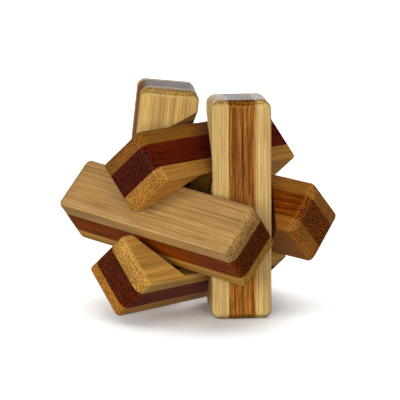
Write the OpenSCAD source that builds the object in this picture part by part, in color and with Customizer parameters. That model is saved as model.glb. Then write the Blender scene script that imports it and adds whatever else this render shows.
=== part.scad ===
// Six-stick diagonal burr puzzle of laminated bamboo.
// Six equal square sticks stand on edge in three pairs. Each is glued up from three strips
// and has two flat-floored V notches on its inner edge, which hold the sticks that cross it.
// The notches are loose, so every stick but the front post leans a few degrees.
// Origin: centre of the footprint, on the table. +Z is up, along the front post.

/* [Stick] */

// Width and thickness of one square stick
stick_w = 20; // [18:0.5:24]

// Length of one stick
stick_len = 75; // [75:1:95]

// Width of the 45 degree chamfer round each end of a stick
end_chamfer = 1.9; // [0.5:0.1:3]

/* [Lamination] */

// Thickness of the dark core strip, between the two pale strips
core_t = 9; // [5:0.5:11]

/* [Fit] */

// Gap that each notch face leaves to the stick that crosses it, in the closed burr
notch_gap = 2; // [2:0.1:2.6]

// How far short of the stick's middle a notch's flat floor stays, so that no side edge is cut
notch_web = 0.6; // [0.5:0.1:1]

// How far every stick stands out from the closed burr at rest
spread = 4.6; // [4.6:0.1:8]

/* [Hidden] */

// Half of the stick's diagonal: in the closed burr, every stick's axis is this far out
half_diag = stick_w / sqrt(2);

// Distance from the burr's centre to each stick's axis at rest
centre_out = half_diag + spread;

// Side of the square hole that one crossing stick needs
notch_side = stick_w + 2 * notch_gap;

// Length that is longer than any stick in every direction
over = 2 * stick_len;

// A thick stick leans less than a thin one in the same gap
lean_share = 20 / stick_w;

// How each loose stick leans in its notches, in degrees about X, Y and Z
upright = [0, 0, 0];
rear_post_lean = lean_share * [-1.06, 7.67, 0];
front_beam_lean = lean_share * [-0.69, 6.90, 1.29];
rear_beam_lean = lean_share * [2.66, 4.21, 0.09];
upper_bar_lean = lean_share * [-1.72, 4.08, 1.01];
lower_bar_lean = lean_share * [-1.28, 4.07, -2.35];

// Height of a post's centre when the lowest corner of its foot touches the table
rear_post_stand = cos(rear_post_lean[0]) * cos(rear_post_lean[1]) * stick_len / 2
    + sin(rear_post_lean[1]) * (half_diag - sqrt(2) * end_chamfer);

// Where each stick settles off its even place, within the play of its notches
front_post_rest = [-0.34, -1.48, 0];
rear_post_rest = [-1.08, 0.99, rear_post_stand - stick_len / 2];
front_beam_rest = [0.50, -0.16, -5.07];
rear_beam_rest = [-0.86, -0.54, -4.31];
upper_bar_rest = [-0.36, 1.71, -5.68];
lower_bar_rest = [-2.96, -1.61, -3.53];

// How far the lower bar reaches below the burr's centre
low_reach = centre_out + half_diag - lower_bar_rest[2] + sin(-lower_bar_lean[0]) * stick_len / 2;

// Height of the burr's centre: stubby sticks would rest on the lower bar, and not on the posts
centre_height = max(stick_len / 2, low_reach);

// Colour of the two pale strips
pale_colour = "#C8A46D";

// Colour of the dark core strip
dark_colour = "#7A4522";

// ---- One stick, in its own frame: along Z, laminated across X, inner edge at -X +Y ----

// Outline of a stick seen from the side, with its four corners chamfered
module side_outline() {
    w = stick_w / 2;
    l = stick_len / 2;
    c = end_chamfer;
    polygon([
        [-w, -l + c], [-w + c, -l], [w - c, -l], [w, -l + c],
        [w, l - c], [w - c, l], [-w + c, l], [-w, l - c]
    ]);
}

// Square bar with all four edges of both ends chamfered
module blank() {
    intersection() {
        rotate([90, 0, 0])
            linear_extrude(height = over, center = true)
                side_outline();
        rotate([90, 0, 90])
            linear_extrude(height = over, center = true)
                side_outline();
    }
}

// Room for one crossing stick, which lies at the given height on the inner edge
module notch(height) {
    rotate([0, 0, -45])
        intersection() {
            translate([-half_diag, 0, height])
                rotate([0, 45, 0])
                    cube([notch_side, over, notch_side], center = true);
            translate([-over - notch_web, -over / 2, -over / 2])
                cube(over);
        }
}

// Part of the notched stick between two distances across the lamination
module strip(from, to) {
    difference() {
        intersection() {
            blank();
            translate([from, -over / 2, -over / 2])
                cube([to - from, over, over]);
        }
        notch(half_diag);
        notch(-half_diag);
    }
}

module outer_strip() {
    color(pale_colour)
        strip(core_t / 2, stick_w / 2);
}

module core_strip() {
    color(dark_colour)
        strip(-core_t / 2, core_t / 2);
}

module inner_strip() {
    color(pale_colour)
        strip(-stick_w / 2, -core_t / 2);
}

// ---- Places: each turns +X to the stick's way out and moves the stick there ----

// Puts a stick at its place: how it is turned, how it leans, its way out and its rest offset
module place(turn, lean, way_out, rest) {
    translate([0, 0, centre_height] + centre_out * way_out + rest)
        rotate(lean)
            rotate(turn)
                rotate([0, 0, 45])
                    children();
}

module front_post() {
    place([0, 0, 0], upright, [1, 0, 0], front_post_rest)
        children();
}

module rear_post() {
    place([0, 180, 0], rear_post_lean, [-1, 0, 0], rear_post_rest)
        children();
}

module front_beam() {
    place([90, 0, -90], front_beam_lean, [0, -1, 0], front_beam_rest)
        children();
}

module rear_beam() {
    place([90, 0, 90], rear_beam_lean, [0, 1, 0], rear_beam_rest)
        children();
}

module upper_bar() {
    place([90, -90, 0], upper_bar_lean, [0, 0, 1], upper_bar_rest)
        children();
}

module lower_bar() {
    place([-90, 90, 0], lower_bar_lean, [0, 0, -1], lower_bar_rest)
        children();
}

// ---- Sub-parts ----

module front_post_outer_strip() { front_post() outer_strip(); }
module front_post_core() { front_post() core_strip(); }
module front_post_inner_strip() { front_post() inner_strip(); }
module rear_post_outer_strip() { rear_post() outer_strip(); }
module rear_post_core() { rear_post() core_strip(); }
module rear_post_inner_strip() { rear_post() inner_strip(); }
module front_beam_outer_strip() { front_beam() outer_strip(); }
module front_beam_core() { front_beam() core_strip(); }
module front_beam_inner_strip() { front_beam() inner_strip(); }
module rear_beam_outer_strip() { rear_beam() outer_strip(); }
module rear_beam_core() { rear_beam() core_strip(); }
module rear_beam_inner_strip() { rear_beam() inner_strip(); }
module upper_bar_outer_strip() { upper_bar() outer_strip(); }
module upper_bar_core() { upper_bar() core_strip(); }
module upper_bar_inner_strip() { upper_bar() inner_strip(); }
module lower_bar_outer_strip() { lower_bar() outer_strip(); }
module lower_bar_core() { lower_bar() core_strip(); }
module lower_bar_inner_strip() { lower_bar() inner_strip(); }

front_post_outer_strip();
front_post_core();
front_post_inner_strip();
rear_post_outer_strip();
rear_post_core();
rear_post_inner_strip();
front_beam_outer_strip();
front_beam_core();
front_beam_inner_strip();
rear_beam_outer_strip();
rear_beam_core();
rear_beam_inner_strip();
upper_bar_outer_strip();
upper_bar_core();
upper_bar_inner_strip();
lower_bar_outer_strip();
lower_bar_core();
lower_bar_inner_strip();
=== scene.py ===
"""Looks of the laminated bamboo burr puzzle.

Six square sticks, each glued up from a pale, a dark and a pale strip, are made at full finish
in place of the plain solids: chamfered ends, V notches and lightly rounded edges. Each strip
is solid bamboo, so its bundles of fibre show as dots where a face cuts them across and as
streaks where a face runs along them. Colours are the renderer's own linear ones.
"""

import logging
import math
from dataclasses import dataclass, field, replace
from enum import Enum
from typing import Callable, Optional, Union

import bmesh
import bpy
from mathutils import Euler, Matrix, Vector

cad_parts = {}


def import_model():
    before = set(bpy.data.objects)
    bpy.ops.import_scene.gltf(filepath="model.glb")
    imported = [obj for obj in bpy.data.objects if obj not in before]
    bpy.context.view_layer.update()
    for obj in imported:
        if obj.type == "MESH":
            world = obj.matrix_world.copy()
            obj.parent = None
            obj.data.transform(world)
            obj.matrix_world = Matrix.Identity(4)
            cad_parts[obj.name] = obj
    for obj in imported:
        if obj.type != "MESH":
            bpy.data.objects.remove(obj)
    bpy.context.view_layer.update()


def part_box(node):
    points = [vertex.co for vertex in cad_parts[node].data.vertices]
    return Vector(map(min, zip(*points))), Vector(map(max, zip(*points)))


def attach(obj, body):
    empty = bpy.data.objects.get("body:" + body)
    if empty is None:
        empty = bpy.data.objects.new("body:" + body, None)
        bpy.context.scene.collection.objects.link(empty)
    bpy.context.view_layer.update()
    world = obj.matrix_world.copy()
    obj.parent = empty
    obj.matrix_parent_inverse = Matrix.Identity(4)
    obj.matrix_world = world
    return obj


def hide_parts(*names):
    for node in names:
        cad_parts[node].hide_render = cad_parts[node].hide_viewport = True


LOG = logging.getLogger("burr")

MM = 0.001
"""One millimetre, in metres."""

"""Where the boxes of the solids and of the finished model are written."""

WORN_WIDTH = 0.7
"""How far from a long edge its wear starts, in millimetres."""

RIM_WEAR = 0.45
"""How far the wear reaches on both sides of an edge of an end, in millimetres."""

END_FACE_DEPTH = 0.3
"""How far below an end face a spot may be and still count as on it, in millimetres."""

GLUE_REACH = 0.14
"""How far a glue line shows on both sides, in millimetres."""

SHARP = math.radians(30)
"""Edges that turn outwards by more than this are sanded."""

SMOOTH = math.radians(35)
"""Faces that meet at less than this are shaded as one surface."""

LAMP_DISTANCE = 1.0
"""Distance of the lamps that light the burr, in metres."""

LAMP_SIZE = 0.4
"""Diameter of those lamps, in metres."""

FLOOR_WIDTH = 12
"""Width of the floor, in metres."""

BACKDROP_RADIUS = 9
"""Radius of the backdrop, in metres."""

SKY_STRENGTH = 0.15
"""Strength of the even light from all sides."""

Colour = tuple[float, float, float]
Triple = tuple[float, float, float]
Value = Union[int, float, "Wire"]


# ---- Shader maths ----


class Wire:
    """One output socket of a shader. Ordinary maths on it adds Math nodes."""

    def __init__(self, shader: "Shader", socket: bpy.types.NodeSocket) -> None:
        """Keeps a socket.

        Args:
            shader: the shader that the socket's node is in.
            socket: an output socket.
        """
        self.shader = shader
        self.socket = socket

    def _math(self, operation: str, first: Value, second: Value = 0.0) -> "Wire":
        """Adds a Math node.

        Args:
            operation: the node's operation.
            first: its first value.
            second: its second value.

        Returns:
            The node's result.
        """
        return self.shader.node("ShaderNodeMath", {"operation": operation}, {0: first, 1: second})

    def __add__(self, other: Value) -> "Wire":
        """Returns self + other."""
        return self._math("ADD", self, other)

    def __radd__(self, other: Value) -> "Wire":
        """Returns other + self."""
        return self._math("ADD", other, self)

    def __sub__(self, other: Value) -> "Wire":
        """Returns self - other."""
        return self._math("SUBTRACT", self, other)

    def __rsub__(self, other: Value) -> "Wire":
        """Returns other - self."""
        return self._math("SUBTRACT", other, self)

    def __mul__(self, other: Value) -> "Wire":
        """Returns self * other."""
        return self._math("MULTIPLY", self, other)

    def __rmul__(self, other: Value) -> "Wire":
        """Returns other * self."""
        return self._math("MULTIPLY", other, self)

    def size(self) -> "Wire":
        """Returns the value without its sign."""
        return self._math("ABSOLUTE", self)

    def at_least(self, other: Value) -> "Wire":
        """Returns the larger of self and other."""
        return self._math("MAXIMUM", self, other)

    def step(self, low: float, high: float) -> "Wire":
        """Rises smoothly from 0 to 1.

        Args:
            low: value at which it starts to rise.
            high: value at which it is 1.

        Returns:
            The mask.
        """
        return self.shader.node(
            "ShaderNodeMapRange",
            {"interpolation_type": "SMOOTHSTEP"},
            {"Value": self, "From Min": low, "From Max": high},
        )

    def near(self, centre: float, reach: float) -> "Wire":
        """Is 1 at one value and falls to 0 on both sides of it.

        Args:
            centre: the value.
            reach: how far from it the mask is 0.

        Returns:
            The mask.
        """
        return 1 - (self - centre).size().step(0, reach)


class Shader:
    """A material's node tree and the few ways in which nodes are added to it."""

    def __init__(self, name: str) -> None:
        """Starts an empty material.

        Args:
            name: the material's name.
        """
        self.material = bpy.data.materials.new(name)
        self.material.use_nodes = True
        self.tree = self.material.node_tree
        self.tree.nodes.clear()

    def node(
        self,
        kind: str,
        settings: Optional[dict] = None,
        values: Optional[dict] = None,
        output: Union[int, str] = 0,
    ) -> Wire:
        """Adds one node.

        Args:
            kind: the node's type.
            settings: properties of the node, which are set first.
            values: values or wires for its input sockets, by name or number.
            output: the output socket that is wanted, by name or number.

        Returns:
            The wire from that output.
        """
        made = self.tree.nodes.new(kind)
        for key, setting in (settings or {}).items():
            setattr(made, key, setting)
        for key, value in (values or {}).items():
            if isinstance(value, Wire):
                self.tree.links.new(value.socket, made.inputs[key])
            else:
                made.inputs[key].default_value = value
        return Wire(self, made.outputs[output])

    def vector(self, operation: str, first: Wire, second: Union[Wire, Triple], output: int = 0) -> Wire:
        """Adds a Vector Math node.

        Args:
            operation: the node's operation.
            first: its first vector.
            second: its second vector.
            output: 0 for its vector and 1 for its value.

        Returns:
            The node's result.
        """
        return self.node("ShaderNodeVectorMath", {"operation": operation}, {0: first, 1: second}, output)

    def mix(
        self, mask: Value, low: Union[Wire, Colour], high: Union[Wire, Colour], blend: str = "MIX"
    ) -> Wire:
        """Mixes two colours.

        Args:
            mask: 0 gives low and 1 gives the blend with high.
            low: the first colour.
            high: the second colour.
            blend: how the second colour goes onto the first.

        Returns:
            The mixed colour.
        """
        first, second = (c if isinstance(c, Wire) else (*c, 1.0) for c in (low, high))
        return self.node(
            "ShaderNodeMix",
            {"data_type": "RGBA", "blend_type": blend},
            {0: mask, 6: first, 7: second},
            2,
        )

    def noise(self, place: Wire, scale: Triple, detail: float = 2.0) -> Wire:
        """Adds a noise, from about 0.3 to 0.7.

        Args:
            place: where it is read.
            scale: how fast it changes along X, Y and Z, per millimetre.
            detail: how many finer layers it has.

        Returns:
            The noise.
        """
        stretched = self.vector("MULTIPLY", place, scale)
        return self.node("ShaderNodeTexNoise", None, {"Vector": stretched, "Scale": 1.0, "Detail": detail})

    def surface(
        self,
        colour: Union[Wire, Colour],
        roughness: Value,
        normal: Optional[Wire],
        **constants: float,
    ) -> None:
        """Ends the material in a Principled shader.

        Args:
            colour: base colour.
            roughness: roughness.
            normal: the bumped normal, if there is one.
            constants: values of other sockets, by name with _ for a space.
        """
        shown = colour if isinstance(colour, Wire) else (*colour, 1.0)
        values = {"Base Color": shown, "Roughness": roughness}
        if normal:
            values["Normal"] = normal
        values.update({key.replace("_", " "): value for key, value in constants.items()})
        self.end(self.node("ShaderNodeBsdfPrincipled", None, values))

    def end(self, shade: Wire) -> None:
        """Joins a shader to the material's output.

        Args:
            shade: the shader.
        """
        output = self.tree.nodes.new("ShaderNodeOutputMaterial")
        self.tree.links.new(shade.socket, output.inputs["Surface"])


# ---- Mesh work ----


def deselect() -> None:
    """Deselects every object."""
    for thing in bpy.context.selected_objects:
        thing.select_set(False)


def work_on(piece: bpy.types.Object) -> None:
    """Makes a piece the only one that is selected, and the active one."""
    deselect()
    piece.select_set(True)
    bpy.context.view_layer.objects.active = piece


def pick_edges(piece: bpy.types.Object, wanted: Callable[[bmesh.types.BMEdge], bool]) -> None:
    """Selects the edges of a piece that pass a test, and no others. The piece is in edit mode.

    Args:
        piece: the piece.
        wanted: says whether an edge is selected.
    """
    bpy.ops.mesh.select_mode(type="EDGE")
    bpy.ops.mesh.select_all(action="DESELECT")
    mesh = bmesh.from_edit_mesh(piece.data)
    for edge in mesh.edges:
        if wanted(edge):
            edge.select_set(True)
    bmesh.update_edit_mesh(piece.data)


def block(name: str, sizes: Triple) -> bpy.types.Object:
    """Adds a rectangular block at the origin and leaves it in edit mode, all selected.

    Args:
        name: its name.
        sizes: its sizes along X, Y and Z, in metres.

    Returns:
        The block.
    """
    deselect()
    bpy.ops.mesh.primitive_cube_add(size=1.0, location=(0, 0, 0))
    made = bpy.context.active_object
    made.name = name
    bpy.ops.object.mode_set(mode="EDIT")
    bpy.ops.mesh.select_all(action="SELECT")
    bpy.ops.transform.resize(value=sizes, center_override=(0, 0, 0))
    return made


# ---- The sticks ----


class Strip(Enum):
    """The three strips of a stick, by the ends of their nodes' names."""

    OUTER = "outer_strip"
    CORE = "core"
    INNER = "inner_strip"


@dataclass(frozen=True)
class StickPlace:
    """Where one stick stands in the burr.

    Attributes:
        body: the name of its body.
        turn: how it is turned, in degrees about X, then Y, then Z.
        lean: how it leans after that, in degrees, as in the CAD, where a fit set it.
        centre: its middle, in millimetres, as in the CAD, where a fit set it.
        seed: sets its grain apart from the other sticks'.
        tint_and_shade: what the colours of its outer strip, core and inner strip are multiplied
        by. They are tuned to how the object looks under these lamps, so they are partly the
        strips' own tints and partly painted light and shade, and are wider apart than strips
        of bamboo are.
    """

    body: str
    turn: Triple
    lean: Triple
    centre: Triple
    seed: float
    tint_and_shade: tuple[Colour, Colour, Colour]

    def matrix(self) -> Matrix:
        """Returns what takes a stick from its own frame to its place."""
        lean, turn = (
            Euler([math.radians(a) for a in angles], "XYZ").to_matrix().to_4x4()
            for angles in (self.lean, self.turn)
        )
        on_edge = Matrix.Rotation(math.radians(45), 4, "Z")
        return Matrix.Translation(Vector(self.centre) * MM) @ lean @ turn @ on_edge


# Each place's last three triples multiply its strips' colours. They are partly the strips' own tints and
# partly painted light and shade, so from other sides the sticks look unevenly lit.
PLACES = (
    StickPlace(
        "front_post", (0, 0, 0), (0, 0, 0), (18.4021, -1.48, 37.5), 1.0,
        ((1.26, 1.56, 1.90), (1.40, 2.05, 2.60), (1.22, 1.50, 1.75)),
    ),
    StickPlace(
        "rear_post", (0, 180, 0), (-1.06, 7.67, 0), (-19.8221, 0.99, 38.6871), 2.0,
        ((1.15, 1.38, 1.50), (1.15, 1.30, 1.30), (1.20, 1.42, 1.50)),
    ),
    StickPlace(
        "front_beam", (90, 0, -90), (-0.69, 6.90, 1.29), (0.50, -18.9021, 32.43), 3.0,
        ((0.92, 0.98, 1.12), (0.92, 0.72, 0.40), (1.05, 1.00, 0.60)),
    ),
    StickPlace(
        "rear_beam", (90, 0, 90), (2.66, 4.21, 0.09), (-0.86, 18.2021, 33.19), 4.0,
        ((0.84, 0.62, 0.30), (1.60, 1.50, 0.90), (0.88, 0.62, 0.25)),
    ),
    StickPlace(
        "upper_bar", (90, -90, 0), (-1.72, 4.08, 1.01), (-0.36, 1.71, 50.5621), 5.0,
        ((0.60, 0.42, 0.12), (0.55, 0.18, 0.20), (1.10, 0.95, 0.55)),
    ),
    StickPlace(
        "lower_bar", (-90, 90, 0), (-1.28, 4.07, -2.35), (-2.96, -1.61, 15.2279), 6.0,
        ((1.10, 0.86, 0.40), (0.80, 0.42, 0.30), (1.25, 1.25, 0.90)),
    ),
)


@dataclass(frozen=True)
class StickSizes:
    """Sizes of a stick, in metres.

    Attributes:
        width: its width and thickness.
        length: its length.
        end_chamfer: the chamfer round each end.
        core: thickness of the dark core strip.
        notch_gap: gap that a notch face leaves to the stick in it, in the closed burr.
        notch_web: how far short of the stick's middle a notch's flat floor stays.
        edge_round: how far the sanded long edges are rounded.
        end_round: how far the edges round the ends are rounded.
    """

    width: float = 20 * MM
    length: float = 75 * MM
    end_chamfer: float = 1.9 * MM
    core: float = 9 * MM
    notch_gap: float = 2 * MM
    notch_web: float = 0.6 * MM
    edge_round: float = 0.35 * MM
    end_round: float = 0.85 * MM


@dataclass(frozen=True)
class Bamboo:
    """One kind of bamboo.

    Attributes:
        slot: a name for a material slot; it is not used.
        ground: colour between the bundles of fibre, on faces along the fibre.
        bundle: colour of the bundles there.
        streak: colour of the broad dark streaks.
        end_ground: colour between the bundles where they are cut across.
        end_bundle: colour of the cut bundles.
        halo: colour of the rings round the cut bundles.
        worn: colour of worn edges, and of the painted glints.
        bundle_show: how strongly the bundles show along the fibre.
        fine_show: how strongly the finest fibres show.
        painted_glint: how strongly the painted glints show: short pale specks along the fibre.
        roughness: roughness along the fibre.
        specular: specular level.
    """

    slot: str
    ground: Colour
    bundle: Colour
    streak: Colour
    end_ground: Colour
    end_bundle: Colour
    halo: Colour
    worn: Colour
    bundle_show: float
    fine_show: float
    painted_glint: float
    roughness: float
    specular: float

    def cast(self, factors: Colour) -> "Bamboo":
        """Returns the same bamboo with all its colours multiplied.

        Args:
            factors: the factors for red, green and blue.

        Returns:
            The bamboo of one stick, with painted light and shade in its colours.
        """
        named = ("ground", "bundle", "streak", "end_ground", "end_bundle", "halo", "worn")
        colours = {n: tuple(c * f for c, f in zip(getattr(self, n), factors)) for n in named}
        return replace(self, **colours)


PALE = Bamboo(
    slot="pale_bamboo",
    ground=(0.520, 0.288, 0.088),
    bundle=(0.315, 0.131, 0.028),
    streak=(0.278, 0.108, 0.019),
    end_ground=(0.307, 0.138, 0.022),
    end_bundle=(0.175, 0.068, 0.012),
    halo=(0.470, 0.250, 0.062),
    worn=(0.540, 0.315, 0.103),
    bundle_show=0.35,
    fine_show=1.0,
    painted_glint=0.1,
    roughness=0.42,
    specular=0.15,
)

DARK = Bamboo(
    slot="dark_bamboo",
    ground=(0.290, 0.072, 0.007),
    bundle=(0.082, 0.014, 0.001),
    streak=(0.053, 0.008, 0.0005),
    end_ground=(0.078, 0.0165, 0.0008),
    end_bundle=(0.014, 0.0022, 0.0002),
    halo=(0.190, 0.056, 0.006),
    worn=(0.273, 0.072, 0.007),
    bundle_show=0.65,
    fine_show=2.2,
    painted_glint=0.7,
    roughness=0.40,
    specular=0.06,
)


@dataclass
class Stick:
    """One notched stick of the burr, made in its own frame and then put in its place.

    Its own frame has Z along the stick, X across the lamination and the notches on the edge
    at -X +Y.
    """

    place: StickPlace
    sizes: StickSizes = field(default_factory=StickSizes)

    def build(self) -> list[bpy.types.Object]:
        """Makes the three strips, dressed and riding on the stick's body.

        Returns:
            The strips.
        """
        whole = self._blank()
        for height in (1, -1):
            self._notch(whole, height * self.sizes.width / math.sqrt(2))
        self._round_edges(whole)
        strips = [self._strip(whole, strip) for strip in Strip]
        bpy.data.objects.remove(whole)
        return strips

    def _blank(self) -> bpy.types.Object:
        """Returns a square bar with all edges of both ends chamfered and then rounded."""
        s = self.sizes
        made = block(f"{self.place.body}_blank", (s.width, s.width, s.length))
        near_end = 0.49 * s.length
        pick_edges(made, lambda e: abs(e.verts[0].co.z + e.verts[1].co.z) > 2 * near_end)
        bpy.ops.mesh.bevel(offset=s.end_chamfer, offset_type="OFFSET", segments=1, affect="EDGES")
        shoulder = s.length / 2 - 1.1 * s.end_chamfer
        pick_edges(made, lambda e: min(abs(v.co.z) for v in e.verts) > shoulder)
        bpy.ops.mesh.bevel(offset=s.end_round, offset_type="OFFSET", segments=3, affect="EDGES")
        bpy.ops.object.mode_set(mode="OBJECT")
        return made

    def _notch(self, whole: bpy.types.Object, height: float) -> None:
        """Cuts the room for one crossing stick.

        Args:
            whole: the bar.
            height: where along the bar the crossing stick lies.
        """
        s = self.sizes
        side = s.width + 2 * s.notch_gap
        cutter = block(f"{self.place.body}_cutter", (side, 4 * s.width, side))
        bpy.ops.object.mode_set(mode="OBJECT")
        cutter.data.transform(
            Matrix.Rotation(math.radians(-45), 4, "Z")
            @ Matrix.Translation((-s.width / math.sqrt(2), 0, height))
            @ Matrix.Rotation(math.radians(45), 4, "Y")
        )
        work_on(cutter)
        bpy.ops.object.mode_set(mode="EDIT")
        bpy.ops.mesh.select_all(action="SELECT")
        outward = Vector((1, -1, 0)).normalized()
        bpy.ops.mesh.bisect(
            plane_co=-s.notch_web * outward, plane_no=outward, use_fill=True, clear_outer=True
        )
        bpy.ops.object.mode_set(mode="OBJECT")
        work_on(whole)
        cut = whole.modifiers.new("notch", "BOOLEAN")
        cut.operation, cut.solver, cut.object = "DIFFERENCE", "EXACT", cutter
        bpy.ops.object.modifier_apply(modifier=cut.name)
        bpy.data.objects.remove(cutter)

    def _round_edges(self, whole: bpy.types.Object) -> None:
        """Rounds every outward edge of the bar that is still sharp, as sanding does.

        Args:
            whole: the notched bar.
        """
        work_on(whole)
        bpy.ops.object.mode_set(mode="EDIT")
        pick_edges(whole, lambda e: e.is_manifold and e.calc_face_angle_signed() > SHARP)
        bpy.ops.mesh.bevel(offset=self.sizes.edge_round, offset_type="OFFSET", segments=3, affect="EDGES")
        bpy.ops.object.mode_set(mode="OBJECT")

    def _strip(self, whole: bpy.types.Object, strip: Strip) -> bpy.types.Object:
        """Cuts one strip out of the finished bar along its glue lines and dresses it.

        Args:
            whole: the finished bar, which is left as it is.
            strip: which strip.

        Returns:
            The strip in its place.
        """
        node = f"{self.place.body}_{strip.value}"
        made = bpy.data.objects.new(f"{node}_bamboo", whole.data.copy())
        bpy.context.scene.collection.objects.link(made)
        half = self.sizes.core / 2
        cuts = {
            Strip.OUTER: ((half, 1),),
            Strip.CORE: ((half, -1), (-half, 1)),
            Strip.INNER: ((-half, -1),),
        }[strip]
        work_on(made)
        bpy.ops.object.mode_set(mode="EDIT")
        for glue_line, kept_side in cuts:
            bpy.ops.mesh.select_all(action="SELECT")
            bpy.ops.mesh.bisect(
                plane_co=(glue_line, 0, 0), plane_no=(kept_side, 0, 0), use_fill=True, clear_inner=True
            )
        bpy.ops.mesh.select_all(action="SELECT")
        bpy.ops.mesh.normals_make_consistent(inside=False)
        bpy.ops.object.mode_set(mode="OBJECT")
        bpy.ops.object.shade_smooth_by_angle(angle=SMOOTH)
        even = made.modifiers.new("even_normals", "WEIGHTED_NORMAL")
        even.keep_sharp = True
        bpy.ops.object.modifier_apply(modifier=even.name)
        made.data.transform(self.place.matrix())
        self._dress(made, strip)
        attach(made, self.place.body)
        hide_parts(node)
        low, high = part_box(node)
        corners = [Vector(c) for c in made.bound_box]
        worst = 0.0
        for i in range(3):
            spread = [c[i] for c in corners]
            worst = max(worst, abs(min(spread) - low[i]), abs(max(spread) - high[i]))
        faces = len(made.data.polygons)
        LOG.info("%s: %d faces, box %.2f mm off the solid's", made.name, faces, worst / MM)
        return made

    def _dress(self, piece: bpy.types.Object, strip: Strip) -> None:
        """Gives a strip its bamboo.

        Args:
            piece: the strip in its place.
            strip: which strip it is.
        """
        kind = DARK if strip is Strip.CORE else PALE
        number = list(Strip).index(strip)
        # The stick's factors paint light and shade into its strip colours, on top of their own tint.
        shaded_kind = kind.cast(self.place.tint_and_shade[number])
        finish = BambooFinish(shaded_kind, self.place, self.sizes, 3 * self.place.seed + number)
        piece.data.materials.clear()
        piece.data.materials.append(finish.material(piece.name))


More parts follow.
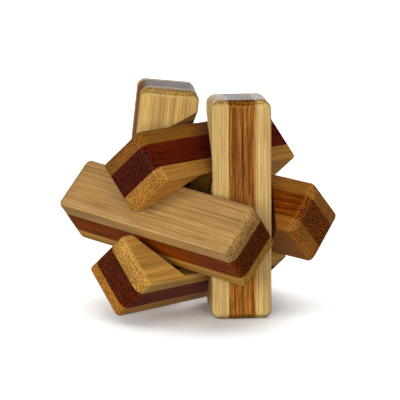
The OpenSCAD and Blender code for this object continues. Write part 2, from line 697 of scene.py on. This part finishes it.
@dataclass(frozen=True)
class BambooFinish:
    """The solid bamboo of one strip, laid out in the stick's own frame in millimetres.

    Attributes:
        kind: the strip's bamboo, with its stick's painted light and shade in the colours.
        place: where its stick stands.
        sizes: the stick's sizes.
        seed: sets its grain apart from the other strips'.
        bundle_gap: how far apart the bundles of fibre are.
    """

    kind: Bamboo
    place: StickPlace
    sizes: StickSizes
    seed: float
    bundle_gap: float = 0.85

    def material(self, name: str) -> bpy.types.Material:
        """Makes the material.

        Args:
            name: its name.

        Returns:
            The material.
        """
        s, kind = Shader(name), self.kind
        matrix = self.place.matrix()
        spot = s.node(
            "ShaderNodeMapping",
            {"vector_type": "TEXTURE"},
            {
                "Vector": s.node("ShaderNodeTexCoord", output="Object"),
                "Location": matrix.translation,
                "Rotation": matrix.to_euler("XYZ"),
                "Scale": (MM, MM, MM),
            },
        )
        x, y, z = (s.node("ShaderNodeSeparateXYZ", None, {0: spot}, axis) for axis in range(3))
        along = tuple(matrix.to_3x3() @ Vector((0, 0, 1)))
        facing = s.node("ShaderNodeTexCoord", output="Normal")
        slant = s.vector("DOT_PRODUCT", facing, along, 1).size()
        across, opened = slant * slant, slant.step(0.25, 0.6)

        apart = s.vector("ADD", spot, (31.7 * self.seed, 17.3 * self.seed, 53.9 * self.seed))
        drift = s.node(
            "ShaderNodeTexNoise",
            None,
            {"Vector": s.vector("MULTIPLY", apart, (0.10, 0.10, 0.030)), "Scale": 1.0, "Detail": 1.0},
            "Color",
        )
        drift = s.vector("MULTIPLY", s.vector("SUBTRACT", drift, (0.5, 0.5, 0.5)), (0.9, 0.9, 0.0))
        grain = s.vector("ADD", apart, drift)

        fine = s.noise(grain, (3.6, 3.6, 0.030), 3.0)
        band = s.noise(grain, (0.42, 0.42, 0.008), 2.0)
        cloud = s.noise(grain, (0.12, 0.12, 0.045), 1.0)
        streak = s.noise(grain, (1.5, 1.5, 0.010), 1.0).step(0.56, 0.70)
        # Short pale specks along the fibre: painted glints of light, not part of the bamboo.
        painted_glint = s.noise(grain, (3.0, 3.0, 0.30), 1.0).step(0.60, 0.70)

        cells = {"Vector": grain, "Scale": 1 / self.bundle_gap, "Randomness": 0.6}
        flat = {"voronoi_dimensions": "2D", "feature": "F1"}
        distance = s.node("ShaderNodeTexVoronoi", flat, cells, "Distance")
        cell_colour = s.node("ShaderNodeTexVoronoi", flat, cells, "Color")
        shade = s.node("ShaderNodeSeparateColor", None, {0: cell_colour})
        bundle = 1 - (distance - 0.10 * shade).step(0.20, 0.42)
        halo = distance.near(0.52, 0.22)
        dash = s.noise(grain, (2.4, 2.4, 0.11), 1.0).step(0.50, 0.60)

        shown = kind.bundle_show * (0.5 + shade) * (1 - opened) + opened
        body = s.mix(across, kind.ground, kind.end_ground)
        body = s.mix(streak * (1 - opened) * 0.6, body, kind.streak)
        body = s.mix(dash * (1 - opened) * kind.bundle_show, body, kind.bundle)
        # Paints the glints in the worn colour. They are much stronger on the dark strip than on the pale
        # ones.
        body = s.mix(painted_glint * (1 - opened) * kind.painted_glint, body, kind.worn)
        body = s.mix(halo * opened * 0.8, body, kind.halo)
        body = s.mix(bundle * shown, body, s.mix(across, kind.bundle, kind.end_bundle))

        tone = 1 + (fine - 0.5) * kind.fine_show + (band - 0.5) * 0.8 + (cloud - 0.5) * 0.5
        tone = s.node("ShaderNodeCombineXYZ", None, {0: tone, 1: tone, 2: tone})
        body = s.mix(1.0, body, tone, "MULTIPLY")

        worn = self._worn(x, y, z) * (0.5 + band)
        body = s.mix(worn * 0.45, body, kind.worn)
        glue = x.size().near(self.sizes.core / 2 / MM, GLUE_REACH)
        body = s.mix(glue * 0.45, body, DARK.streak)

        rough = kind.roughness + across * 0.14 + (fine - 0.5) * 0.35 + streak * 0.06 - worn * 0.06
        relief = fine * 0.8 - bundle * (0.25 + across * 0.6) - glue * 0.6
        bump = s.node(
            "ShaderNodeBump", None, {"Strength": 0.45, "Distance": 0.10 * MM, "Height": relief}
        )
        s.surface(
            body,
            rough,
            bump,
            Specular_IOR_Level=kind.specular,
            Coat_Weight=0.02,
            Coat_Roughness=0.35,
        )
        return s.material

    def _worn(self, x: Wire, y: Wire, z: Wire) -> Wire:
        """Masks the edges that hands and sanding have worn.

        Args:
            x: place across the lamination.
            y: place along the strips' width.
            z: place along the stick.

        Returns:
            The mask.
        """
        half, end = self.sizes.width / 2 / MM, self.sizes.length / 2 / MM
        chamfer = self.sizes.end_chamfer / MM
        worn_from = half - WORN_WIDTH
        long_edges = x.size().step(worn_from, half) * y.size().step(worn_from, half)
        on_end = z.size().step(end - END_FACE_DEPTH, end)
        rim = x.size().at_least(y.size()).near(half - chamfer, RIM_WEAR) * on_end
        return long_edges.at_least(z.size().near(end - chamfer, RIM_WEAR)).at_least(rim)


# ---- Stage ----


@dataclass(frozen=True)
class Studio:
    """Floor, light and camera.

    Attributes:
        aim: the point that the camera looks at, in metres.
        azimuth: direction from there to the camera, in degrees from +X towards +Y.
        elevation: height of the camera above the horizon, in degrees.
        roll: how far the camera leans, in degrees.
        distance: distance of the camera, in metres.
        lens: focal length, in millimetres.
        shift: how far the view is shifted, in widths of the picture.
    """

    aim: Triple = (0.272 * MM, 1.047 * MM, 36.37 * MM)
    azimuth: float = -50.80
    elevation: float = 10.73
    roll: float = -0.33
    distance: float = 0.964
    lens: float = 252.0
    shift: tuple[float, float] = (-0.00515, 0.0048)

    def build(self) -> None:
        """Sets the whole stage up."""
        bpy.context.scene.view_settings.view_transform = "Standard"
        floor = self._floor()
        self._backdrop()
        self._light("floor", 130, 80, power=90.0, distance=2.5, size=3.5, only=floor)
        self._light("key", -108, 10, power=5.8)
        self._light("front", -62, 10, power=2.7)
        self._light("fill", -35, 10, power=3.5)
        self._light("side", 20, 10, power=1.2)
        self._light("back", 130, 7, power=4.0)
        self._light("top", 130, 28, power=1.0)
        self._sky()
        self._camera()

    def _towards(self, azimuth: float, elevation: float) -> Vector:
        """Returns the unit vector in a direction given in degrees."""
        a, e = math.radians(azimuth), math.radians(elevation)
        return Vector((math.cos(a) * math.cos(e), math.sin(a) * math.cos(e), math.sin(e)))

    def _floor(self) -> bpy.types.Object:
        """Lays the plain pale floor, which throws no light and no reflection onto the burr.

        Returns:
            The floor.
        """
        deselect()
        bpy.ops.mesh.primitive_plane_add(size=FLOOR_WIDTH, location=(0, 0, 0))
        floor = bpy.context.active_object
        floor.name = "floor"
        s = Shader("floor")
        s.surface((0.86, 0.86, 0.85), 0.9, None)
        floor.data.materials.append(s.material)
        floor.visible_diffuse = floor.visible_glossy = floor.visible_shadow = False
        return floor

    def _backdrop(self) -> None:
        """Puts a plain white shell round the stage, which only the camera sees."""
        deselect()
        bpy.ops.mesh.primitive_uv_sphere_add(
            segments=48, ring_count=24, radius=BACKDROP_RADIUS, location=(0, 0, 0)
        )
        shell = bpy.context.active_object
        shell.name = "backdrop"
        shell.visible_diffuse = shell.visible_glossy = False
        shell.visible_transmission = shell.visible_shadow = False
        s = Shader("backdrop")
        s.end(s.node("ShaderNodeEmission", None, {"Color": (1, 1, 1, 1), "Strength": 1.0}))
        shell.data.materials.append(s.material)

    def _light(
        self,
        name: str,
        azimuth: float,
        elevation: float,
        power: float,
        distance: float = LAMP_DISTANCE,
        size: float = LAMP_SIZE,
        only: Optional[bpy.types.Object] = None,
    ) -> None:
        """Adds one soft lamp that faces the burr.

        Args:
            name: the lamp's name.
            azimuth: its direction, in degrees from +X towards +Y.
            elevation: its height above the horizon, in degrees.
            power: its power, in watts.
            distance: its distance from the burr, in metres.
            size: its diameter, in metres.
            only: the one object that it lights, if it doesn't light them all.
        """
        lamp = bpy.data.lights.new(name, "AREA")
        lamp.shape, lamp.size, lamp.energy = "DISK", size, power
        holder = bpy.data.objects.new(name, lamp)
        bpy.context.scene.collection.objects.link(holder)
        way = self._towards(azimuth, elevation)
        holder.location = Vector(self.aim) + way * distance
        holder.rotation_euler = way.to_track_quat("Z", "Y").to_euler()
        if only:
            lit = bpy.data.collections.new(f"lit_by_{name}")
            lit.objects.link(only)
            holder.light_linking.receiver_collection = lit

    def _sky(self) -> None:
        """Surrounds the stage with even white light."""
        world = bpy.data.worlds.new("studio")
        bpy.context.scene.world = world
        world.use_nodes = True
        background = world.node_tree.nodes["Background"]
        background.inputs["Color"].default_value = (1, 1, 1, 1)
        background.inputs["Strength"].default_value = SKY_STRENGTH

    def _camera(self) -> None:
        """Places the camera."""
        camera = bpy.data.cameras.new("camera")
        camera.lens, camera.sensor_width = self.lens, 36.0
        camera.shift_x, camera.shift_y = self.shift
        camera.clip_start, camera.clip_end = 0.01, 50.0
        holder = bpy.data.objects.new("camera", camera)
        bpy.context.scene.collection.objects.link(holder)
        back = self._towards(self.azimuth, self.elevation)
        right = Vector((0, 0, 1)).cross(back).normalized()
        up = back.cross(right)
        roll = math.radians(self.roll)
        leaned_right = math.cos(roll) * right + math.sin(roll) * up
        leaned_up = math.cos(roll) * up - math.sin(roll) * right
        turn = Matrix((leaned_right, leaned_up, back)).transposed().to_4x4()
        holder.matrix_world = Matrix.Translation(Vector(self.aim) + back * self.distance) @ turn
        bpy.context.scene.camera = holder


def main() -> None:
    """Builds the sticks and the stage."""
    logging.basicConfig(level=logging.INFO, format="%(name)s: %(message)s")
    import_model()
    for place in PLACES:
        pieces = Stick(place).build()
        LOG.info("%s: %s", place.body, ", ".join(p.name for p in pieces))
    Studio().build()


if __name__ == "__main__":
    main()
